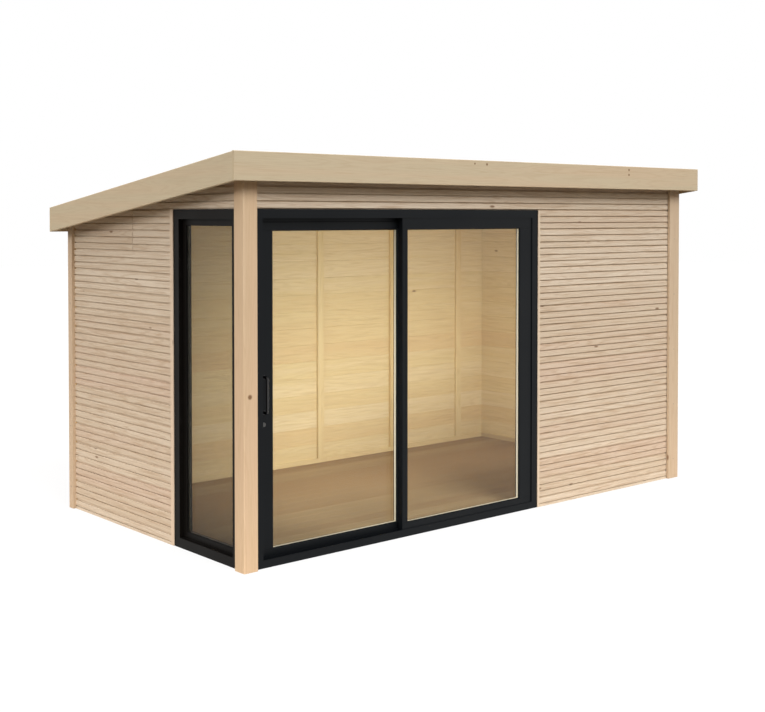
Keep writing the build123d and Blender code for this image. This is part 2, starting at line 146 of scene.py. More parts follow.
def deselect_all() -> None:
    """Leave edit mode and deselect every object."""
    if bpy.context.object and bpy.context.object.mode != "OBJECT":
        bpy.ops.object.mode_set(mode="OBJECT")
    bpy.ops.object.select_all(action="DESELECT")


def pick(*pieces: Piece) -> None:
    """Select only some pieces.

    Args:
        *pieces: What to select, with the piece to make active first.
    """
    deselect_all()
    for piece in pieces:
        piece.select_set(True)
    bpy.context.view_layer.objects.active = pieces[0]


def seat(piece: Piece) -> None:
    """Move a piece's place, turn and scale into its mesh."""
    pick(piece)
    bpy.ops.object.transform_apply(location=True, rotation=True, scale=True)


def choose(piece: Piece, part: MeshPart, test: Test) -> None:
    """Enter edit mode with only some of a mesh's faces or edges selected.

    Args:
        piece: The mesh to choose in.
        part: Whether to choose faces or edges.
        test: What a chosen face's centre and normal pass, or a chosen edge's two ends.
    """
    pick(piece)
    bpy.ops.object.mode_set(mode="EDIT")
    bpy.ops.mesh.select_mode(type=part.value)
    bpy.ops.mesh.select_all(action="DESELECT")
    bpy.ops.object.mode_set(mode="OBJECT")
    if part is MeshPart.FACES:
        for face in piece.data.polygons:
            face.select = test(face.center, face.normal)
    else:
        points = piece.data.vertices
        for edge in piece.data.edges:
            edge.select = test(*(points[end].co for end in edge.vertices))
    bpy.ops.object.mode_set(mode="EDIT")


def bevel_chosen(width: float, segments: int = 1) -> None:
    """Bevel the chosen edges and leave edit mode."""
    bpy.ops.mesh.bevel(offset=width, offset_type="OFFSET", segments=segments, clamp_overlap=True)
    bpy.ops.object.mode_set(mode="OBJECT")


def extrude_chosen(shift: Point) -> None:
    """Extrude the chosen faces by a shift and leave edit mode."""
    bpy.ops.mesh.extrude_region_move(TRANSFORM_OT_translate={"value": shift})
    bpy.ops.object.mode_set(mode="OBJECT")


def slice_piece(piece: Piece, at: Point, normal: Point, drop: bool = False) -> None:
    """Cut a piece by a plane.

    Args:
        piece: The mesh to cut.
        at: A point of the plane.
        normal: The plane's normal.
        drop: True to drop what lies on the normal's side and close the cut.
    """
    pick(piece)
    bpy.ops.object.mode_set(mode="EDIT")
    bpy.ops.mesh.select_all(action="SELECT")
    bpy.ops.mesh.bisect(plane_co=at, plane_no=normal, use_fill=drop, clear_outer=drop)
    bpy.ops.object.mode_set(mode="OBJECT")


def block(name: str, low: Point, high: Point, edge: float = 0.0) -> Piece:
    """A squared piece between two corners, with all its edges eased.

    Args:
        name: The new piece's name.
        low: Its lowest corner.
        high: Its highest corner.
        edge: Width of the eased edges, or 0 for sharp ones.

    Returns:
        The piece, with its place in its mesh.
    """
    deselect_all()
    centre = [(a + b) / 2 for a, b in zip(low, high)]
    extent = [b - a for a, b in zip(low, high)]
    bpy.ops.mesh.primitive_cube_add(size=1, location=centre, scale=extent)
    piece = bpy.context.object
    piece.name = piece.data.name = name
    seat(piece)
    if edge > 0:
        choose(piece, MeshPart.EDGES, lambda a, b: True)
        bevel_chosen(edge)
    return piece


def copy_to(piece: Piece, shift: Point) -> Piece:
    """A copy of a piece, moved.

    Args:
        piece: The piece to copy.
        shift: How far the copy stands from it.

    Returns:
        The copy, with its own mesh.
    """
    pick(piece)
    bpy.ops.object.duplicate(linked=False)
    twin = bpy.context.object
    twin.location = Vector(shift)
    seat(twin)
    return twin


def join(name: str, pieces: list[Piece]) -> Piece:
    """Join pieces into one.

    Args:
        name: The whole's name.
        pieces: What to join.

    Returns:
        The whole.
    """
    pick(*pieces)
    if len(pieces) > 1:
        bpy.ops.object.join()
    whole = bpy.context.object
    whole.name = whole.data.name = name
    return whole


def ring(name: str, low: Point, high: Point, across: int, width: float) -> Piece:
    """A closed rectangular frame, open along one axis.

    Args:
        name: The new piece's name.
        low: Lowest corner of the frame's outside.
        high: Highest corner of the frame's outside.
        across: Axis that the opening runs along, 0 for X or 1 for Y.
        width: Width of the frame's four members.

    Returns:
        The piece, with its place in its mesh.
    """
    piece = block(name, low, high)
    choose(piece, MeshPart.FACES, lambda centre, normal: abs(normal[across]) > SQUARE_ON)
    bpy.ops.mesh.inset(thickness=width, use_even_offset=True)
    bpy.ops.mesh.bridge_edge_loops()
    bpy.ops.object.mode_set(mode="OBJECT")
    return piece


def mark_boards(piece: Piece, number: Callable[[Vector], float]) -> None:
    """Number each face's board, from which the wood takes its own figure and tone.

    Args:
        piece: The boards, joined.
        number: Gives a face's number from its centre.
    """
    layer = piece.data.attributes.new("board", "FLOAT", "FACE")
    for face in piece.data.polygons:
        layer.data[face.index].value = number(face.center)


# Finishes


def feed(node: Node, values: dict) -> None:
    """Give a node's inputs their values and links.

    Args:
        node: The node.
        values: Input name or number to a value, to the output socket that feeds it, or to a
            node, which feeds it from its first output in use.
    """
    for key, value in values.items():
        if isinstance(value, Node):
            value = next(output for output in value.outputs if output.enabled)
        if isinstance(value, bpy.types.NodeSocket):
            node.id_data.links.new(value, node.inputs[key])
        else:
            node.inputs[key].default_value = value


def add_node(tree: Tree, kind: str, values: dict | None = None, **settings: object) -> Node:
    """Add a shader node with its settings, values and links.

    Args:
        tree: The material's or world's node tree.
        kind: The node's type name, without the ShaderNode that it starts with.
        values: What its inputs get, as feed takes it.
        **settings: Properties of the node itself. The one named stops gives a colour ramp's
            places from 0 to 1, each with its sRGB hex colour.

    Returns:
        The new node.
    """
    node = tree.nodes.new(f"ShaderNode{kind}")
    stops = settings.pop("stops", {})
    for name, value in settings.items():
        setattr(node, name, value)
    for _ in range(len(stops) - 2):
        node.color_ramp.elements.new(0.5)
    for i, (place, hex_code) in enumerate(sorted(stops.items())):
        node.color_ramp.elements[i].position = place
        node.color_ramp.elements[i].color = srgb(hex_code)
    feed(node, values or {})
    return node


def bare_tree(owner: bpy.types.Material | bpy.types.World) -> Tree:
    """Switch on the nodes of a material or a world, and clear them.

    Args:
        owner: The material or the world.

    Returns:
        Its empty node tree.
    """
    owner.use_nodes = True
    owner.node_tree.nodes.clear()
    return owner.node_tree


def bare_material(name: str) -> tuple[bpy.types.Material, Tree, Node, bpy.types.NodeSocket]:
    """A new material with a Principled shader, its output and the place of each point.

    Args:
        name: The material's name.

    Returns:
        The material, its node tree, its shader and the socket that gives a point's place.
    """
    material = bpy.data.materials.new(name)
    tree = bare_tree(material)
    shader = add_node(tree, "BsdfPrincipled")
    add_node(tree, "OutputMaterial", {"Surface": shader})
    return material, tree, shader, add_node(tree, "TexCoord").outputs["Object"]


@dataclass(frozen=True)
class PlanedSpruce:
    """Spruce, planed and left bare: straw to pink boards, fine streaks, brown knots, a dull surface."""

    name: str
    grain: Grain
    pale: str = "#d2bb9c"
    straw: str = "#c9b18f"
    rosy: str = "#c9ac8c"
    streak: str = "#a5815a"
    knot: str = "#6f4a2c"
    end_grain: str = "#b59a76"
    # Share of the stretches of board that have a knot
    knot_share: float = 0.2
    # Contrast of the rings and streaks, 1 for coarse boards and less for smoothly planed ones
    contrast: float = 1.0
    # Places and radii of the knots that a piece is known to have
    known_knots: tuple[tuple[Point, float], ...] = ()

    # Annual rings that the saw cuts at a slant show as streaks about 14 mm wide
    STREAK_ACROSS = 14 * MM
    # The rings themselves are 3 to 5 mm apart, in nested lines that open out along the board
    RING_FIELD = 70 * MM
    RINGS_IN_FIELD = 16
    # Fibres are hairs of light and dark that the plane leaves, drawn 2 mm wide so that they show
    FIBRE_ACROSS = 2 * MM
    # Scale of the figure along the grain, where it is 1 across it, which draws it out
    STRETCH = 0.045
    # One knot at most in each stretch of board of this size
    KNOT_ALONG = 330 * MM
    KNOT_ACROSS = 120 * MM
    # Knots are 10 to 20 mm across, which is this share of a stretch
    KNOT_RADIUS = 0.055
    # Each board takes its figure from a place of its own, up to this far off
    BOARD_JUMP = (7.0, 5.0, 3.0)

    def scale(self, along: float, across: float) -> Point:
        """A pattern's scale over X, Y and Z from its scale along and across the grain."""
        return tuple(along if axis == self.grain.value else across for axis in range(3))

    def build(self) -> bpy.types.Material:
        """Make the wood, with its figure running along the grain.

        Returns:
            The material.
        """
        material, tree, shader, place = bare_material(self.name)
        board = add_node(tree, "Attribute", attribute_name="board").outputs["Fac"]
        chance = add_node(tree, "TexWhiteNoise", {"W": board}, noise_dimensions="1D")
        far_off = {0: chance.outputs["Color"], 1: self.BOARD_JUMP}
        jump = add_node(tree, "VectorMath", far_off, operation="MULTIPLY")
        own_place = add_node(tree, "VectorMath", {0: place, 1: jump}, operation="ADD")
        long_drawn = {"Vector": own_place, "Scale": self.scale(self.STRETCH, 1.0)}
        drawn_out = add_node(tree, "Mapping", long_drawn)
        ragged = {"Detail": 3.0, "Roughness": 0.6, "Distortion": 0.6}
        streaks = add_node(tree, "TexNoise", {"Vector": drawn_out, "Scale": 1 / self.STREAK_ACROSS, **ragged})
        hairs = {"Vector": drawn_out, "Scale": 1 / self.FIBRE_ACROSS, "Detail": 2.0}
        fibres = add_node(tree, "TexNoise", hairs)
        nests = {"Vector": drawn_out, "Scale": 1 / self.RING_FIELD, "Detail": 1.5}
        ring_field = add_node(tree, "TexNoise", nests)
        ring_turns = {0: ring_field, 1: math.tau * self.RINGS_IN_FIELD}
        turns = add_node(tree, "Math", ring_turns, operation="MULTIPLY")
        rings = add_node(tree, "Math", {0: turns}, operation="SINE")

        # Each board has a tone of its own between pale, straw and rosy, and drifts a little along it
        drift = add_node(tree, "Math", {0: chance, 1: ring_field}, operation="ADD")
        tone = add_node(tree, "MapRange", {"Value": drift, "From Min": 0.25, "From Max": 1.75})
        tones = {0.15: self.pale, 0.5: self.straw, 0.85: self.rosy}
        wood = add_node(tree, "ValToRGB", {"Fac": tone}, stops=tones)
        # Streaks and rings darken it, from where each pattern starts to show to where it is full
        for pattern, start, full, depth in ((streaks, 0.5, 0.8, 0.5), (rings, 0.1, 1.0, 0.24)):
            reach = {"From Min": start, "From Max": full, "To Max": depth * self.contrast}
            share = add_node(tree, "MapRange", {"Value": pattern, **reach})
            wood = add_node(tree, "Mix", {0: share, 6: wood, 7: srgb(self.streak)}, data_type="RGBA")
        dark, light = 1 - 0.07 * self.contrast, 1 + 0.05 * self.contrast
        shades = {"From Min": 0.3, "From Max": 0.7, "To Min": dark, "To Max": light}
        fibre_light = add_node(tree, "MapRange", {"Value": fibres, **shades})
        wood = add_node(tree, "VectorMath", {0: wood, "Scale": fibre_light}, operation="SCALE")
        knots = self.knots(tree, place, own_place)
        wood = add_node(tree, "Mix", {0: knots, 6: wood, 7: srgb(self.knot)}, data_type="RGBA")

        # Sawn ends drink in more light than the planed sides
        facing = add_node(tree, "SeparateXYZ", {"Vector": place.node.outputs["Normal"]})
        along = add_node(tree, "Math", {0: facing.outputs[self.grain.value]}, operation="ABSOLUTE")
        ends = add_node(tree, "MapRange", {"Value": along, "From Min": 0.75, "From Max": 0.95, "To Max": 0.7})
        wood = add_node(tree, "Mix", {0: ends, 6: wood, 7: srgb(self.end_grain)}, data_type="RGBA")

        dullness = add_node(tree, "MapRange", {"Value": fibres, "To Min": 0.62, "To Max": 0.82})
        # Hard rings stand a little proud of the soft wood between them, and fibres stand on both
        relief = add_node(tree, "Math", {0: rings, 1: 0.25, 2: fibres}, operation="MULTIPLY_ADD")
        skin = {"Height": relief, "Strength": 0.3 * self.contrast, "Distance": 0.3 * MM}
        bump = add_node(tree, "Bump", skin)
        feed(shader, {"Base Color": wood, "Roughness": dullness, "Normal": bump, "Specular IOR Level": 0.3})
        return material

    def knots(self, tree: Tree, place: bpy.types.NodeSocket, own_place: Node) -> Node:
        """Brown ovals, darkest at the heart: some by chance and some where they are known to be.

        Args:
            tree: The material's node tree.
            place: A point's place in the shed.
            own_place: Its place in the board's own part of the pattern.

        Returns:
            The node that gives how much of a knot shows there.
        """
        stretch = self.scale(1 / self.KNOT_ALONG, 1 / self.KNOT_ACROSS)
        stretches = add_node(tree, "Mapping", {"Vector": own_place, "Scale": stretch})
        spots = {"Vector": stretches, "Scale": 1.0, "Randomness": 0.8}
        cells = add_node(tree, "TexVoronoi", spots, feature="F1")
        lot = add_node(tree, "SeparateColor", {"Color": cells.outputs["Color"]})
        present = add_node(tree, "Math", {0: lot, 1: self.knot_share}, operation="LESS_THAN")
        heart, rim = 0.6 * self.KNOT_RADIUS, 1.8 * self.KNOT_RADIUS
        fade = {"Value": cells, "From Min": heart, "From Max": rim, "To Min": 0.8, "To Max": 0.0}
        oval = add_node(tree, "MapRange", fade, interpolation_type="SMOOTHSTEP")
        share = add_node(tree, "Math", {0: present, 1: oval}, operation="MULTIPLY")
        for centre, radius in self.known_knots:
            distance = add_node(tree, "VectorMath", {0: place, 1: centre}, operation="DISTANCE")
            heart, rim = 0.5 * radius, 1.3 * radius
            fade = {"Value": distance, "From Min": heart, "From Max": rim, "To Min": 0.85, "To Max": 0.0}
            core = add_node(tree, "MapRange", fade, interpolation_type="SMOOTHSTEP")
            share = add_node(tree, "Math", {0: share, 1: core}, operation="MAXIMUM")
        return share


@dataclass(frozen=True)
class PowderCoat:
    """Aluminium, powder-coated in the oven: near-black, satin, with a fine orange-peel skin."""

    name: str
    colour: str = "#0d1013"
    roughness: float = 0.45
    gloss: float = 0.15
    # The powder melts into low waves about 1.5 mm apart
    WAVE = 1.5 * MM

    def build(self) -> bpy.types.Material:
        """Make the coating.

        Returns:
            The material.
        """
        material, tree, shader, place = bare_material(self.name)
        waves = add_node(tree, "TexNoise", {"Vector": place, "Scale": 1 / self.WAVE, "Detail": 1.0})
        clouds = add_node(tree, "TexNoise", {"Vector": place, "Scale": 3.0, "Detail": 2.0})
        smooth, dull = self.roughness - 0.04, self.roughness + 0.06
        reach = {"From Min": 0.3, "From Max": 0.7, "To Min": smooth, "To Max": dull}
        rough = add_node(tree, "MapRange", {"Value": clouds, **reach})
        bump = add_node(tree, "Bump", {"Height": waves, "Strength": 0.12, "Distance": 0.1 * MM})
        feed(shader, {"Base Color": srgb(self.colour), "Specular IOR Level": self.gloss})
        feed(shader, {"Roughness": rough, "Normal": bump})
        return material


@dataclass(frozen=True)
class CoatedGlass:
    """Float glass, flat and clear, with a coating that takes most of the glare off its surface."""

    name: str
    colour: str = "#f8faf7"
    # Plain glass has 1.5, which mirrors too much of the surroundings, and the coating's own is lower
    coating_ior: float = 1.2
    # The melt sets in long low waves, about 400 mm from crest to crest
    WAVE = 400 * MM

    def build(self) -> bpy.types.Material:
        """Make the glass.

        Returns:
            The material.
        """
        material, tree, shader, place = bare_material(self.name)
        waves = add_node(tree, "TexNoise", {"Vector": place, "Scale": 1 / self.WAVE, "Detail": 0.0})
        bump = add_node(tree, "Bump", {"Height": waves, "Strength": 0.05, "Distance": 0.2 * MM})
        feed(shader, {"Base Color": srgb(self.colour), "Roughness": 0.0, "Normal": bump})
        feed(shader, {"IOR": self.coating_ior, "Transmission Weight": 1.0})
        return material


@dataclass(frozen=True)
class SatinMetal:
    """Metal turned or drawn and left satin: sharp but soft highlights, fine scratches one way."""

    name: str
    colour: str
    roughness: float
    metallic: float = 1.0
    # Drawing and turning leave scratches about 0.4 mm apart
    SCRATCH = 0.4 * MM

    def build(self) -> bpy.types.Material:
        """Make the metal.

        Returns:
            The material.
        """
        material, tree, shader, place = bare_material(self.name)
        drawn_out = add_node(tree, "Mapping", {"Vector": place, "Scale": (1.0, 1.0, 0.05)})
        lines = {"Vector": drawn_out, "Scale": 1 / self.SCRATCH, "Detail": 2.0}
        scratches = add_node(tree, "TexNoise", lines)
        reach = {"To Min": self.roughness - 0.08, "To Max": self.roughness + 0.08}
        rough = add_node(tree, "MapRange", {"Value": scratches, **reach})
        feed(shader, {"Base Color": srgb(self.colour), "Metallic": self.metallic, "Roughness": rough})
        return material


@dataclass(frozen=True)
class MouldedPlastic:
    """Rubber or nylon from a mould or die: one colour through, matt, with a faint pebble."""

    name: str
    colour: str
    roughness: float
    # The die's skin shows as pebbles about 0.8 mm wide
    PEBBLE = 0.8 * MM

    def build(self) -> bpy.types.Material:
        """Make the plastic.

        Returns:
            The material.
        """
        material, tree, shader, place = bare_material(self.name)
        pebbles = add_node(tree, "TexNoise", {"Vector": place, "Scale": 1 / self.PEBBLE, "Detail": 1.0})
        bump = add_node(tree, "Bump", {"Height": pebbles, "Strength": 0.2, "Distance": 0.1 * MM})
        feed(shader, {"Base Color": srgb(self.colour), "Roughness": self.roughness, "Normal": bump})
        feed(shader, {"Specular IOR Level": 0.3})
        return material


@dataclass(frozen=True)
class MineralFelt:
    """Bitumen felt pressed with crushed slate: dark grey, sparkling grit, matt all over."""

    name: str
    dark: str = "#2f3133"
    middle: str = "#4a4c4e"
    light: str = "#7b7d7e"
    # The grit is about 1.5 mm, drawn 3 mm wide so that it shows
    GRIT = 3 * MM

    def build(self) -> bpy.types.Material:
        """Make the felt.

        Returns:
            The material.
        """
        material, tree, shader, place = bare_material(self.name)
        grit = add_node(tree, "TexVoronoi", {"Vector": place, "Scale": 1 / self.GRIT}, feature="F1")
        shade = add_node(tree, "SeparateColor", {"Color": grit.outputs["Color"]})
        clouds = add_node(tree, "TexNoise", {"Vector": place, "Scale": 4.0, "Detail": 3.0})
        weathered = add_node(tree, "MapRange", {"Value": clouds, "To Min": 0.35, "To Max": 0.65})
        mixed = add_node(tree, "Math", {0: shade, 1: weathered}, operation="MULTIPLY")
        greys = {0.05: self.dark, 0.3: self.middle, 0.75: self.light}
        colour = add_node(tree, "ValToRGB", {"Fac": mixed}, stops=greys)
        bump = add_node(tree, "Bump", {"Height": grit, "Strength": 0.5, "Distance": 0.8 * MM})
        feed(shader, {"Base Color": colour, "Roughness": 0.9, "Normal": bump, "Specular IOR Level": 0.25})
        return material


Finish = PlanedSpruce | PowderCoat | CoatedGlass | SatinMetal | MouldedPlastic | MineralFelt


def dress(piece: Piece, material: bpy.types.Material) -> None:
    """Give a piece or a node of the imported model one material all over.

    Args:
        piece: What to dress.
        material: What it gets.
    """
    if piece.material_slots:
        for place in piece.material_slots:
            place.material = material
    else:
        piece.data.materials.append(material)


@dataclass
class Finishes:
    """All finishes of the shed, each built once when it is first asked for."""

    built: dict[str, bpy.types.Material] = field(default_factory=dict)

    def get(self, finish: Finish) -> bpy.types.Material:
        """The material of a finish, built on first use.

        Args:
            finish: The finish.

        Returns:
            Its material.
        """
        if finish.name not in self.built:
            self.built[finish.name] = finish.build()
        return self.built[finish.name]

    def put_on(self, finish: Finish, *nodes: str) -> None:
        """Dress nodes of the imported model, which keep their own shapes."""
        for node in nodes:
            dress(bpy.data.objects[node], self.get(finish))

    def hand_in(self, piece: Piece, finish: Finish, slot: str, body: str = SHED, node: str = "") -> None:
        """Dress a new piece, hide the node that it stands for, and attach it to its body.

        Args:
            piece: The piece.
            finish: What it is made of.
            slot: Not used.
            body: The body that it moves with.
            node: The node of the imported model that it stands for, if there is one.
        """
        dress(piece, self.get(finish))
        if node:
            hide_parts(node)
        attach(piece, body)
        LOG.info("%s: %d faces", piece.name, len(piece.data.polygons))


SLATS = {"pale": "#dccebb", "straw": "#d3c3ae", "rosy": "#d4c0ad"}
LINING = {"pale": "#e0caa1", "straw": "#dac292", "rosy": "#d7b98a", "contrast": 0.7}
POST = {"pale": "#dac4a8", "straw": "#d5bb9b", "rosy": "#d7ba9d", "contrast": 0.35, "knot_share": 0.1}
CORNER = {"pale": "#d6c2a9", "straw": "#cdb89e", "rosy": "#d0b49d", "contrast": 0.5}
TRIM = {"pale": "#e3d3bf", "straw": "#dccab4", "rosy": "#dfc9b5", "contrast": 0.4}
FASCIA_TONES = {"pale": "#cdc2a8", "straw": "#cabca1", "rosy": "#d0b99d", "end_grain": "#c6b698"}
FASCIA = FASCIA_TONES | {"contrast": 0.4, "knot_share": 0.03}
FLOOR_TONES = {"pale": "#a38a66", "straw": "#997f5d", "rosy": "#967855", "streak": "#70563a"}
FLOOR = FLOOR_TONES | {"contrast": 0.35, "knot_share": 0.0}
# The post and the front fascia have their knots where the photograph shows them
POST_KNOTS = (((-2.008, -1.058, 1.012), 15 * MM),)
FASCIA_KNOTS = (
    ((-0.285, -1.142, 2.391), 7 * MM),
    ((-0.173, -1.142, 2.389), 9 * MM),
    ((1.316, -1.142, 2.388), 9 * MM),
    ((1.316, -1.142, 2.352), 9 * MM),
)

SLATTED_X = PlanedSpruce("planed_spruce_slats_x", Grain.ALONG_X, **SLATS)
SLATTED_Y = PlanedSpruce("planed_spruce_slats_y", Grain.ALONG_Y, **SLATS)
LINED_X = PlanedSpruce("planed_spruce_lining_x", Grain.ALONG_X, **LINING)
LINED_Y = PlanedSpruce("planed_spruce_lining_y", Grain.ALONG_Y, **LINING)
POST_WOOD = PlanedSpruce("planed_spruce_post", Grain.ALONG_Z, known_knots=POST_KNOTS, **POST)
CORNER_WOOD = PlanedSpruce("planed_spruce_corner_boards", Grain.ALONG_Z, **CORNER)
TRIM_WOOD = PlanedSpruce("planed_spruce_trim", Grain.ALONG_Z, **TRIM)
FASCIA_X = PlanedSpruce("planed_spruce_fascia_x", Grain.ALONG_X, known_knots=FASCIA_KNOTS, **FASCIA)
FASCIA_Y = PlanedSpruce("planed_spruce_fascia_y", Grain.ALONG_Y, **FASCIA)
FRAMING_X = PlanedSpruce("sawn_spruce_framing_x", Grain.ALONG_X, **LINING)
FRAMING_Y = PlanedSpruce("sawn_spruce_framing_y", Grain.ALONG_Y, **LINING)
FRAMING_Z = PlanedSpruce("sawn_spruce_framing_z", Grain.ALONG_Z, **LINING)
FLOOR_WOOD = PlanedSpruce("oiled_spruce_floor", Grain.ALONG_X, **FLOOR)
DOOR_COAT = PowderCoat("powder_coated_door_aluminium")
WINDOW_COAT = PowderCoat("powder_coated_window_aluminium", colour="#12100e", gloss=0.08)
CLEAR_GLASS = CoatedGlass("clear_coated_glass")
TINTED_GLASS = CoatedGlass("grey_coated_glass", colour="#dedfdc", coating_ior=1.12)
BLACK_RUBBER = MouldedPlastic("extruded_black_rubber", "#0d0c0b", 0.7)
NYLON = MouldedPlastic("moulded_white_nylon", "#c8c6be", 0.5)
SPACER_WHITE = MouldedPlastic("extruded_white_spacer", "#ddd3bd", 0.5)
SPACER_GREY = MouldedPlastic("extruded_grey_spacer", "#6f6a61", 0.6)
HANDLE_STEEL = SatinMetal("black_stove_enamelled_steel", "#050506", 0.2, metallic=0.0)
LOCK_STEEL = SatinMetal("satin_nickel_lock", "#5c5b59", 0.35)
SCREW_STEEL = SatinMetal("zinc_plated_screws", "#9c978a", 0.4)
FELT = MineralFelt("mineral_roofing_felt")


# Sub-assemblies


@dataclass(frozen=True)
class RoofPlane:
    """The plane on which the walls meet the roof deck, sloping down to the rear."""

    front: float
    height: float
    slope: float

    @classmethod
    def from_frame(cls) -> "RoofPlane":
        """Read the plane of the deck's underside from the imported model."""
        low, high = span("roof_deck")
        return cls(low.y, high.z - DECK_THICKNESS, (high.z - low.z - DECK_THICKNESS) / (high.y - low.y))

    @property
    def tilt(self) -> float:
        """The turn about X that lays a level piece on the plane."""
        return -math.atan(self.slope)

    def trim(self, piece: Piece) -> None:
        """Cut off what stands above the plane."""
        slice_piece(piece, (0, self.front, self.height), (0, self.slope, 1), drop=True)

    def lay(self, piece: Piece, y: float, above: float = 0.0) -> None:
        """Tip a level piece to the slope.

        Args:
            piece: The piece, which starts at Y 0.
            y: Where it then starts.
            above: How far it lies above the plane.
        """
        piece.rotation_euler = (self.tilt, 0, 0)
        piece.location = (0, y, self.height - (y - self.front) * self.slope + above)
        seat(piece)

    def cut_ends(self, piece: Piece, low: Vector, high: Vector) -> None:
        """Cut a laid piece plumb at the front and rear of a box."""
        slice_piece(piece, (0, low.y, 0), (0, -1, 0), drop=True)
        slice_piece(piece, (0, high.y, 0), (0, 1, 0), drop=True)


@dataclass
class SlattedWalls:
    """Walls of stacked boards, each moulded outside into three slats and shallowly grooved inside."""

    finishes: Finishes
    roof: RoofPlane
    slat_pitch: float = 45 * MM
    slats_per_board: int = 3
    slat_groove: float = 7.5 * MM
    board_joint: float = 13 * MM
    groove_depth: float = 10 * MM
    slat_edge: float = 1.5 * MM
    corner_gap: float = 3 * MM
    lining_chamfer: float = 2.5 * MM
    lining_groove_depth: float = 2 * MM
    # The left wall's boards are butted this far behind its front end, in the courses above the
    # joint that is this many courses below the top of the door frame
    butt_place: float = 460 * MM
    butt_courses: int = 2
    butt_gap: float = 3 * MM
    # Height of a joint between two boards: the top of the door frame
    joint_level: float = field(init=False)

    def __post_init__(self) -> None:
        """Take the courses' level from the door frame."""
        self.joint_level = span("door_jamb_left")[1].z

    @property
    def board_height(self) -> float:
        """Cover of one board."""
        return self.slat_pitch * self.slats_per_board

    def build(self) -> None:
        """Build and dress all six walls."""
        butt_y = span("left_wall")[0].y + self.butt_place
        butt_level = self.joint_level - self.butt_courses * self.board_height
        self.wall("front_wall", Facing.FRONT)
        self.wall("door_header", Facing.FRONT)
        self.wall("back_wall", Facing.REAR)
        self.wall("right_wall", Facing.RIGHT)
        self.wall("window_header", Facing.LEFT)
        self.wall("left_wall", Facing.LEFT, butt=(butt_y, butt_level))

    def board(self, name: str, length: float, thickness: float, clear: tuple[float, float]) -> Piece:
        """One board, lying along X from 0, its slats towards -Y and its foot at Z 0.

        Args:
            name: The new piece's name.
            length: The board's length.
            thickness: Its thickness over the slats.
            clear: Length without slats at its start and at its end.

        Returns:
            The board.
        """
        board = block(name, (0, self.groove_depth, 0), (length, thickness, self.board_height))
        bands = []
        for i in range(self.slats_per_board):
            below = self.board_joint if i == 0 else self.slat_groove
            above = self.board_joint if i == self.slats_per_board - 1 else self.slat_groove
            bands.append((i * self.slat_pitch + below / 2, (i + 1) * self.slat_pitch - above / 2))
        for height in sum(bands, ()):
            slice_piece(board, (0, 0, height), (0, 0, 1))
        start, end = clear[0], length - clear[1]
        for place in (start, end):
            if 0 < place < length:
                slice_piece(board, (place, 0, 0), (1, 0, 0))
        foot, top = bands[0][0], bands[-1][1]

        def slatted(z: float) -> bool:
            """Whether a height lies on one of the slats."""
            return any(low < z < high for low, high in bands)

        choose(board, MeshPart.FACES, lambda c, n: n.y < -SQUARE_ON and start < c.x < end and slatted(c.z))
        extrude_chosen((0, -self.groove_depth, 0))
        choose(board, MeshPart.FACES, lambda c, n: n.y > SQUARE_ON and foot < c.z < top and not slatted(c.z))
        extrude_chosen((0, -self.lining_groove_depth, 0))
        choose(board, MeshPart.EDGES, lambda a, b: max(a.y, b.y) < FLUSH and abs(a.z - b.z) < FLUSH)
        bevel_chosen(self.slat_edge, 2)
        inner, under_top = thickness - FLUSH, self.board_height - FLUSH
        choose(
            board,
            MeshPart.EDGES,
            lambda a, b: min(a.y, b.y) > inner and abs(a.z - b.z) < FLUSH and not FLUSH < a.z < under_top,
        )
        bevel_chosen(self.lining_chamfer)
        return board

    def bare_ends(self, low: Vector, high: Vector, facing: Facing) -> tuple[float, float]:
        """Lengths at a wall's start and end that the corner boards and the gaps beside them take.

        Args:
            low: Lowest corner of the wall.
            high: Highest corner of the wall.
            facing: Side that the slats look to, with the wall's start at its left as seen from there.

        Returns:
            The two lengths, 0 where no corner board meets the wall.
        """
        front_right = span("front_right_corner")
        rear_left, rear_right = span("rear_left_corner"), span("rear_right_corner")
        ends = {
            Facing.FRONT: (0.0, high.x - front_right[0].x),
            Facing.RIGHT: (front_right[1].y - low.y, high.y - rear_right[0].y),
            Facing.REAR: (high.x - rear_right[0].x, rear_left[1].x - low.x),
            Facing.LEFT: (high.y - rear_left[0].y, 0.0),
        }[facing]
        return tuple(end + self.corner_gap if end > 0 else 0.0 for end in ends)

    def stack(self, name: str, low: Point, high: Point, facing: Facing) -> Piece:
        """A field of boards that fills a wall's box up to the roof.

        Args:
            name: The new piece's name.
            low: Lowest corner of the field.
            high: Highest corner of the field.
            facing: Side that the slats look to.

        Returns:
            The field, trimmed at its foot and under the roof.
        """
        low, high = Vector(low), Vector(high)
        wide, deep = high.x - low.x, high.y - low.y
        length, thickness = (wide, deep) if facing.runs_along_x else (deep, wide)
        stack = self.board(name, length, thickness, self.bare_ends(low, high, facing))
        courses_below = math.ceil((self.joint_level - low.z) / self.board_height - COUNT_SLACK)
        foot = self.joint_level - courses_below * self.board_height
        pick(stack)
        pile = stack.modifiers.new("pile", "ARRAY")
        pile.count = math.ceil((high.z - foot) / self.board_height - COUNT_SLACK)
        pile.use_relative_offset = False
        pile.use_constant_offset = True
        pile.constant_offset_displace = (0, 0, self.board_height)
        bpy.ops.object.modifier_apply(modifier=pile.name)
        start = {
            Facing.FRONT: (low.x, low.y),
            Facing.RIGHT: (high.x, low.y),
            Facing.REAR: (high.x, high.y),
            Facing.LEFT: (low.x, high.y),
        }[facing]
        stack.rotation_euler = (0, 0, math.radians(facing.value))
        stack.location = (*start, foot)
        seat(stack)
        if foot < low.z - FLUSH:
            slice_piece(stack, (0, 0, low.z), (0, 0, -1), drop=True)
        self.roof.trim(stack)
        return stack

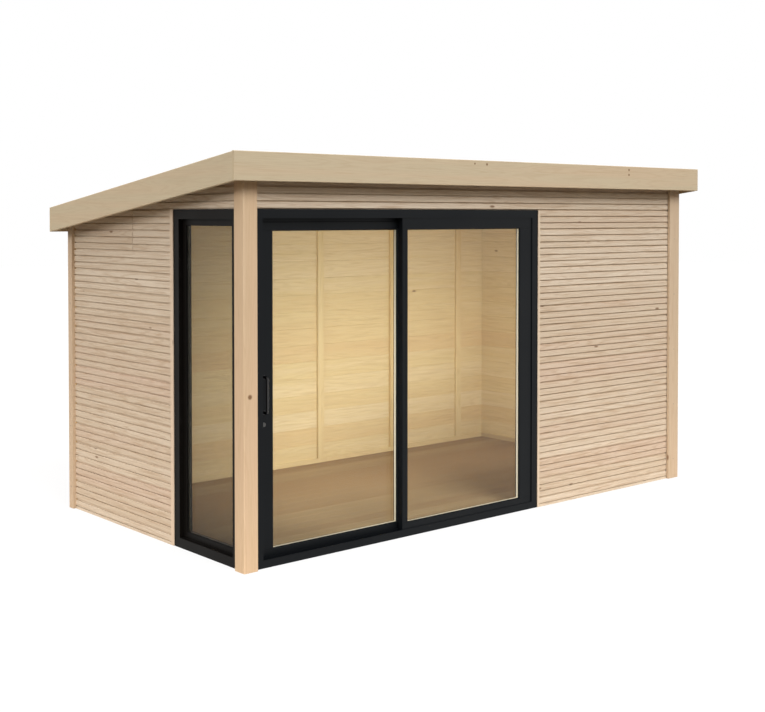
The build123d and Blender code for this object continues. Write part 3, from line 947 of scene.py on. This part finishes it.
    def wall(self, node: str, facing: Facing, butt: tuple[float, float] | None = None) -> None:
        """Build the boards of one wall in place of its plain node.

        Args:
            node: The wall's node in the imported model.
            facing: Side that its slats look to.
            butt: Place along Y and height above which the boards are butted there.
        """
        low, high = span(node)
        name = f"{node}_boards"
        if butt is None:
            boxes = [(low, high)]
        else:
            y, level = butt
            gap = self.butt_gap / 2
            boxes = [(low, (high.x, high.y, level))]
            boxes.append(((low.x, low.y, level), (high.x, y - gap, high.z)))
            boxes.append(((low.x, y + gap, level), high))
        fields = [self.stack(name, *box, facing) for box in boxes]
        for i, stack in enumerate(fields):
            first = 1 + FIELD_NUMBERS * i
            mark_boards(stack, lambda c, first=first: first + (c.z - self.joint_level) // self.board_height)
        wall = join(name, fields)
        outer, inner = (SLATTED_X, LINED_X) if facing.runs_along_x else (SLATTED_Y, LINED_Y)
        self.finishes.hand_in(wall, outer, "slat_cladding", node=node)
        # What looks inward from deeper than the grooves is the lining
        wall.data.materials.append(self.finishes.get(inner))
        outward = facing.outward
        deepest = max(face.center.dot(outward) for face in wall.data.polygons) - 2.5 * self.groove_depth
        for face in wall.data.polygons:
            if face.center.dot(outward) < deepest and face.normal.dot(outward) < -0.5:
                face.material_index = 1


@dataclass
class BoardedDecks:
    """The floor and the roof deck, laid from tongued boards that run from left to right."""

    finishes: Finishes
    roof: RoofPlane
    floor_board: float = 120 * MM
    deck_board: float = 110 * MM
    edge: float = 1.2 * MM
    gap: float = 0.8 * MM

    def build(self) -> None:
        """Build and dress both decks."""
        self.floor()
        self.roof_boards()

    def board(self, low: Point, high: Point) -> Piece:
        """One board between two corners, with half a gap left at each long side.

        Args:
            low: Lowest corner of the board and its gaps.
            high: Highest corner of them.

        Returns:
            The board.
        """
        near, far = low[1] + self.gap / 2, high[1] - self.gap / 2
        return block("board", (low[0], near, low[2]), (high[0], far, high[2]), self.edge)

    def floor(self) -> None:
        """Lay the floor up to the walls and round the two frames."""
        low, high = span("floor_deck")
        window_corner = span("window_jamb_rear")[1]
        frame_rear = span("door_sill")[1].y
        door_right = span("door_jamb_right")[1].x
        edges = [low.y, frame_rear]
        while edges[-1] + self.floor_board < high.y:
            edges.append(edges[-1] + self.floor_board)
        edges.append(high.y)
        boards = []
        for i, (near, far) in enumerate(zip(edges, edges[1:])):
            start = low.x if (near + far) / 2 > window_corner.y else window_corner.x
            start = door_right if i == 0 else start
            boards.append(self.board((start, near, low.z), (high.x, far, high.z)))
        floor = join("floor_deck_boards", boards)
        mark_boards(floor, lambda c: FLOOR_NUMBERS + (c.y - low.y) // self.floor_board)
        self.finishes.hand_in(floor, FLOOR_WOOD, "floor_boards", node="floor_deck")

    def roof_boards(self) -> None:
        """Lay the roof deck down its slope, seen from the room and under the overhangs."""
        low, high = span("roof_deck")
        thickness = DECK_THICKNESS * math.cos(self.roof.tilt)
        length = (high.y - low.y) / math.cos(self.roof.tilt)
        count = round(length / self.deck_board)
        cover = length / count
        places = [(i * cover, (i + 1) * cover) for i in range(count)]
        boards = [self.board((low.x, near, 0), (high.x, far, thickness)) for near, far in places]
        deck = join("roof_deck_boards", boards)
        mark_boards(deck, lambda c: DECK_NUMBERS + c.y // cover)
        self.roof.lay(deck, low.y)
        self.roof.cut_ends(deck, low, high)
        self.finishes.hand_in(deck, FRAMING_X, "structural_timber", node="roof_deck")


@dataclass
class FeltRoof:
    """Roofing felt in lapped sheets, nailed along each lap."""

    finishes: Finishes
    roof: RoofPlane
    sheets: int = 3
    lap: float = 80 * MM
    felt: float = 3 * MM
    felt_edge: float = 0.6 * MM
    nail_spacing: float = 75 * MM
    nail_radius: float = 5 * MM
    nail_rise: float = 0.8 * MM
    nail_sides: int = 10

    def build(self) -> None:
        """Lay the sheets from front to rear, each with its rear edge over the next, then nail them."""
        low, high = span("roof_covering")
        length = (high.y - low.y) / math.cos(self.roof.tilt)
        cover = (length + self.lap * (self.sheets - 1)) / self.sheets
        sheets = []
        nails = []
        for i in range(self.sheets):
            near = i * (cover - self.lap)
            sheet = block("felt", (low.x, 0, 0), (high.x, cover, self.felt), self.felt_edge)
            # The rear edge lies on the next sheet down the slope, so the sheet tips up by one felt
            lift = self.felt if i < self.sheets - 1 else 0.0
            sheet.rotation_euler = (math.atan(lift / cover), 0, 0)
            sheet.location = (0, near, 0)
            seat(sheet)
            sheets.append(sheet)
            if lift:
                nails += self.nail_row(low.x, high.x, near + cover - self.lap / 3, self.felt + lift)
        roof = join("felt_sheets", sheets)
        nails_piece = join("felt_nails", nails)
        for piece in (roof, nails_piece):
            self.roof.lay(piece, low.y, above=DECK_THICKNESS)
        self.roof.cut_ends(roof, low, high)
        self.finishes.hand_in(roof, FELT, "roof_felt", node="roof_covering")
        self.finishes.hand_in(nails_piece, SCREW_STEEL, "lock_metal")

    def nail_row(self, left: float, right: float, y: float, z: float) -> list[Piece]:
        """A row of broad nail heads along a lap.

        Args:
            left: Left end of the roof.
            right: Right end of the roof.
            y: Place of the row down the slope.
            z: Height of the felt's upper face there.

        Returns:
            The nail heads.
        """
        count = int((right - left) / self.nail_spacing) - 1
        first = (left + right) / 2 - self.nail_spacing * (count - 1) / 2
        deselect_all()
        size = {"radius": self.nail_radius, "depth": 2 * self.nail_rise}
        bpy.ops.mesh.primitive_cylinder_add(vertices=self.nail_sides, location=(first, y, z), **size)
        nail = bpy.context.object
        seat(nail)
        choose(nail, MeshPart.FACES, lambda c, n: n.z > SQUARE_ON)
        bpy.ops.mesh.inset(thickness=self.nail_radius / 3)
        bpy.ops.transform.translate(value=(0, 0, self.nail_rise / 2))
        bpy.ops.object.mode_set(mode="OBJECT")
        return [nail] + [copy_to(nail, (self.nail_spacing * i, 0, 0)) for i in range(1, count)]


@dataclass
class Timbers:
    """Posts, corner boards, fascias, framing and skirting that keep their own shapes."""

    finishes: Finishes

    def dress(self) -> None:
        """Give each timber wood whose fibres run along it."""
        woods = {
            POST_WOOD: ("front_left_post",),
            CORNER_WOOD: ("front_right_corner", "rear_left_corner", "rear_right_corner"),
            TRIM_WOOD: ("door_trim", "window_trim"),
            FASCIA_X: ("fascia_front", "fascia_rear"),
            FASCIA_Y: ("fascia_left", "fascia_right"),
            FRAMING_Y: ("rafters", "floor_bearers"),
            FRAMING_Z: ("back_wall_studs",),
            FRAMING_X: ("skirting",),
        }
        for wood, nodes in woods.items():
            self.finishes.put_on(wood, *nodes)
            LOG.info("%s: %s", wood.name, ", ".join(nodes))


@dataclass
class Screws:
    """Countersunk screws with a square recess, along the corner boards."""

    finishes: Finishes
    radius: float = 4 * MM
    rise: float = 0.3 * MM
    recess: float = 1.2 * MM
    # Share of the head's radius that the rim round the recess takes
    rim_share: float = 0.55
    sides: int = 12
    spacing: float = 430 * MM
    lowest: float = 150 * MM
    per_face: int = 5

    def build(self) -> None:
        """Set the screws into both faces of each corner board."""
        corner_boards = (
            ("front_right_corner", Facing.FRONT, Facing.RIGHT),
            ("rear_left_corner", Facing.REAR, Facing.LEFT),
            ("rear_right_corner", Facing.REAR, Facing.RIGHT),
        )
        screws = []
        for node, broad, side in corner_boards:
            low, high = span(node)
            y_face = low.y if broad is Facing.FRONT else high.y
            x_face = low.x if side is Facing.LEFT else high.x
            for i in range(self.per_face):
                z = self.lowest + i * self.spacing
                screws.append(self.screw(((low.x + high.x) / 2, y_face, z), broad))
                screws.append(self.screw((x_face, (low.y + high.y) / 2, z), side))
        self.finishes.hand_in(join("timber_screws", screws), SCREW_STEEL, "lock_metal")

    def screw(self, at: Point, facing: Facing) -> Piece:
        """One screw head.

        Args:
            at: Its place on a face.
            facing: Side that the face looks to.

        Returns:
            The head.
        """
        deselect_all()
        bpy.ops.mesh.primitive_cylinder_add(vertices=self.sides, radius=self.radius, depth=2 * self.rise)
        head = bpy.context.object
        choose(head, MeshPart.FACES, lambda c, n: n.z > SQUARE_ON)
        bpy.ops.mesh.inset(thickness=self.radius * self.rim_share)
        extrude_chosen((0, 0, -self.recess))
        head.rotation_euler = (math.radians(90), 0, math.radians(facing.value))
        head.location = at
        seat(head)
        return head


@dataclass
class GlazedUnit:
    """Two panes with a spacer between them, and rubber gaskets on both sides."""

    finishes: Finishes
    node: str
    body: str
    across: int
    glass: CoatedGlass
    slot: str
    spacer_finish: MouldedPlastic
    lets_lamps_in: bool = True
    pane: float = 4 * MM
    pane_edge: float = 0.4 * MM
    # How far the frame reaches over the glass, and over the gaskets
    bite: float = 12 * MM
    gasket_cover: float = 1 * MM
    spacer_width: float = 15.5 * MM
    gasket_width: float = 5 * MM
    gasket_proud: float = 1.5 * MM

    def layer(self, start: float, end: float, inset: float = 0.0) -> tuple[list[float], list[float]]:
        """Lowest and highest corner of one layer of the unit.

        Args:
            start: Where it starts, on the axis across the glass.
            end: Where it ends.
            inset: How far it stays inside the unit's edges.

        Returns:
            The two corners.
        """
        low, high = span(self.node)
        a, b = [v + inset for v in low], [v - inset for v in high]
        a[self.across], b[self.across] = start, end
        return a, b

    def build(self) -> None:
        """Build the unit in place of its plain node."""
        near, far = (corner[self.across] for corner in span(self.node))
        starts = (near, far - self.pane)
        panes = [block("pane", *self.layer(start, start + self.pane), self.pane_edge) for start in starts]
        unit = join(f"{self.node}_panes", panes)
        # Lamplight reaches the room through clear panes, so they throw no shadow
        unit.visible_shadow = not self.lets_lamps_in
        self.finishes.hand_in(unit, self.glass, self.slot, self.body, node=self.node)

        hollow = self.layer(near + self.pane, far - self.pane)
        spacer = ring(f"{self.node}_spacer", *hollow, self.across, self.spacer_width)
        self.finishes.hand_in(spacer, self.spacer_finish, "lock_metal", self.body)

        seals = []
        for start in (near - self.gasket_proud, far):
            strip = self.layer(start, start + self.gasket_proud, self.bite - self.gasket_cover)
            seals.append(ring("seal", *strip, self.across, self.gasket_width))
        gaskets = join(f"{self.node}_gaskets", seals)
        self.finishes.hand_in(gaskets, BLACK_RUBBER, "roller_plastic", self.body)


@dataclass
class DoorSet:
    """The aluminium frame, the fixed and the sliding sash, handle, lock and rollers."""

    finishes: Finishes

    def build(self) -> None:
        """Dress the members and glaze both sashes."""
        members = [f"door_{part}" for part in ("jamb_left", "jamb_right", "head", "sill")]
        for sash, closing in (("fixed_sash", "outer_stile"), ("sliding_sash", "lock_stile")):
            members += [f"{sash}_{part}" for part in ("top_rail", "bottom_rail", "meeting_stile", closing)]
        self.finishes.put_on(DOOR_COAT, *members)
        self.finishes.put_on(HANDLE_STEEL, "door_handle")
        self.finishes.put_on(LOCK_STEEL, "lock_cylinder")
        self.finishes.put_on(NYLON, "sash_rollers")
        for sash, body in (("fixed_sash", SHED), ("sliding_sash", SLIDING_DOOR)):
            glass = f"{sash}_glass"
            GlazedUnit(self.finishes, glass, body, 1, CLEAR_GLASS, "clear_glass", SPACER_WHITE).build()
        LOG.info("door set: %d members", len(members))


@dataclass
class SideWindow:
    """The fixed window in the left wall, with its stepped frame and tinted glass."""

    finishes: Finishes

    def build(self) -> None:
        """Dress the frame and glaze it."""
        members = [f"window_{part}" for part in ("jamb_front", "jamb_rear", "sill", "head")]
        self.finishes.put_on(WINDOW_COAT, *members)
        unit = GlazedUnit(self.finishes, "window_glass", SHED, 0, TINTED_GLASS, "tinted_glass", SPACER_GREY)
        unit.lets_lamps_in = False
        unit.build()
        LOG.info("side window: %d members", len(members))


# Studio


@dataclass
class Studio:
    """Pale floor and world, soft lamps and the camera."""

    # The view of the photograph: where the camera stands and looks, and its lens
    camera_place: Point = (-6.050, -6.925, 2.047)
    yaw_deg: float = 40.666
    pitch_deg: float = 1.426
    focal_px: float = 1243.4
    frame_width_px: float = 765
    horizon_shift_px: float = -108.8
    sensor_mm: float = 36
    # Light: the sky overhead and low down, and two broad soft suns as turn, height, width and strength
    sky_overhead: float = 1.25
    sky_low: float = 0.1
    # Low down the light comes off the wood and the ground round about, so it is warm
    low_light: str = "#ffe6c8"
    suns: tuple[tuple[float, float, float, float], ...] = ((5, 42, 34, 2.22), (85, 23, 24, 1.24))
    floor_size: float = 80
    # Share of its own light in the floor as it is seen, the rest being the light that falls on it
    floor_glow: float = 0.88
    # The floor gives light back mainly near the shed, so the walls get most of it at the foot
    mat_colour: str = "#fff0dc"
    mat_albedo: float = 0.62
    outer_albedo: float = 0.08
    mat_stretch: Point = (0.62, 1.0, 1.0)
    mat_inner_radius: float = 2.2
    mat_outer_radius: float = 3.2
    # The room's lamps stand behind the door and behind the side window, as place, turn, width and watts
    room_lamps: tuple[tuple[Point, float, float, float], ...] = (
        ((0.6, -0.6, 0.9), 0, 2.7, 17),
        ((-1.75, -0.2, 0.9), 90, 1.4, 13),
    )
    room_lamp_height: float = 0.8
    room_lamp_dip_deg: float = 2
    room_lamp_spread_deg: float = 120

    def build(self) -> None:
        """Build floor, world, lamps and camera."""
        self.floor()
        self.world()
        self.lamps()
        self.camera()

    def seen_directly(self, tree: Tree) -> Node:
        """A share that is 1 where the camera, gloss or glass sees a surface, and 0 as it gives light.

        Args:
            tree: The node tree that needs it.

        Returns:
            The node that gives the share.
        """
        path = add_node(tree, "LightPath").outputs
        seen = path["Is Camera Ray"]
        for ray in ("Is Glossy Ray", "Is Transmission Ray"):
            seen = add_node(tree, "Math", {0: seen, 1: path[ray]}, operation="MAXIMUM")
        return seen

    def floor(self) -> None:
        """A plain pale floor that keeps the shed's shadow."""
        deselect_all()
        bpy.ops.mesh.primitive_plane_add(size=self.floor_size, location=(0, 0, 0))
        floor = bpy.context.object
        floor.name = "studio_floor"
        material = bpy.data.materials.new("studio_floor_paint")
        tree = bare_tree(material)
        seen = self.seen_directly(tree)
        place = add_node(tree, "TexCoord").outputs["Object"]
        oval = add_node(tree, "VectorMath", {0: place, 1: self.mat_stretch}, operation="MULTIPLY")
        distance = add_node(tree, "VectorMath", {0: oval}, operation="LENGTH")
        rim = {"From Min": self.mat_inner_radius, "From Max": self.mat_outer_radius}
        albedo = {"To Min": self.mat_albedo, "To Max": self.outer_albedo}
        mat = add_node(tree, "MapRange", {"Value": distance, **rim, **albedo})
        warm = add_node(tree, "VectorMath", {0: srgb(self.mat_colour)[:3], "Scale": mat}, operation="SCALE")
        paint = add_node(tree, "Mix", {0: seen, 6: warm, 7: WHITE}, data_type="RGBA")
        matt = add_node(tree, "BsdfDiffuse", {"Color": paint})
        glow = add_node(tree, "Emission", {"Color": WHITE, "Strength": 1.0})
        share = add_node(tree, "Math", {0: seen, 1: self.floor_glow}, operation="MULTIPLY")
        surface = add_node(tree, "MixShader", {"Fac": share, 1: matt, 2: glow})
        add_node(tree, "OutputMaterial", {"Surface": surface})
        floor.data.materials.append(material)

    def world(self) -> None:
        """White where the camera, gloss or glass sees it, and as light bright overhead and dim low down."""
        world = bpy.data.worlds.new("studio_world")
        bpy.context.scene.world = world
        tree = bare_tree(world)
        direction = add_node(tree, "TexCoord").outputs["Generated"]
        height = add_node(tree, "SeparateXYZ", {"Vector": direction}).outputs["Z"]
        brightness = {"Value": height, "To Min": self.sky_low, "To Max": self.sky_overhead}
        strength = add_node(tree, "MapRange", brightness)
        tint = add_node(tree, "Mix", {0: height, 6: srgb(self.low_light), 7: WHITE}, data_type="RGBA")
        light = add_node(tree, "Background", {"Color": tint, "Strength": strength})
        white = add_node(tree, "Background", {"Color": WHITE, "Strength": 1.0})
        mix = add_node(tree, "MixShader", {"Fac": self.seen_directly(tree), 1: light, 2: white})
        add_node(tree, "OutputWorld", {"Surface": mix})

    def lamps(self) -> None:
        """Two broad soft suns from above, and two lamps in the room that light its walls."""
        for i, (turn, height, width, strength) in enumerate(self.suns):
            sun = self.light(f"studio_sun_{i}", "SUN", (0, 0, 0), turn, height)
            sun.energy = strength
            sun.angle = math.radians(width)
        for i, (place, turn, width, watts) in enumerate(self.room_lamps):
            lamp = self.light(f"studio_room_lamp_{i}", "AREA", place, turn, self.room_lamp_dip_deg)
            lamp.shape = "RECTANGLE"
            lamp.size, lamp.size_y = width, self.room_lamp_height
            lamp.energy = watts
            lamp.spread = math.radians(self.room_lamp_spread_deg)

    def light(self, name: str, kind: str, place: Point, turn: float, dip: float) -> bpy.types.Light:
        """Add a light that is itself out of sight, out of gloss and out of the glass.

        Args:
            name: The light's name.
            kind: SUN or AREA.
            place: Where it stands.
            turn: The way it shines in plan, in degrees clockwise from +Y.
            dip: How far down it shines, in degrees.

        Returns:
            The light's own settings.
        """
        deselect_all()
        bpy.ops.object.light_add(type=kind, location=place)
        light = bpy.context.object
        light.name = name
        light.rotation_euler = (math.radians(90 - dip), 0, -math.radians(turn))
        light.visible_camera = light.visible_glossy = light.visible_transmission = False
        return light.data

    def camera(self) -> None:
        """The photograph's viewpoint, with its horizon lifted by a shift of the lens."""
        deselect_all()
        turn = (math.radians(90 - self.pitch_deg), 0, -math.radians(self.yaw_deg))
        bpy.ops.object.camera_add(location=self.camera_place, rotation=turn)
        camera = bpy.context.object
        camera.name = "photo_view"
        camera.data.sensor_width = self.sensor_mm
        camera.data.lens = self.focal_px / self.frame_width_px * self.sensor_mm
        camera.data.shift_y = self.horizon_shift_px / self.frame_width_px
        bpy.context.scene.camera = camera


def main() -> None:
    """Build the shed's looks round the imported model."""
    logging.basicConfig(level=logging.INFO, format="%(name)s %(message)s")
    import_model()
    finishes = Finishes()
    roof = RoofPlane.from_frame()
    SlattedWalls(finishes, roof).build()
    BoardedDecks(finishes, roof).build()
    FeltRoof(finishes, roof).build()
    Timbers(finishes).dress()
    DoorSet(finishes).build()
    SideWindow(finishes).build()
    Screws(finishes).build()
    Studio().build()
    bpy.context.scene.view_settings.view_transform = "Standard"
    LOG.info("shed dressed")


if __name__ == "__main__":
    main()
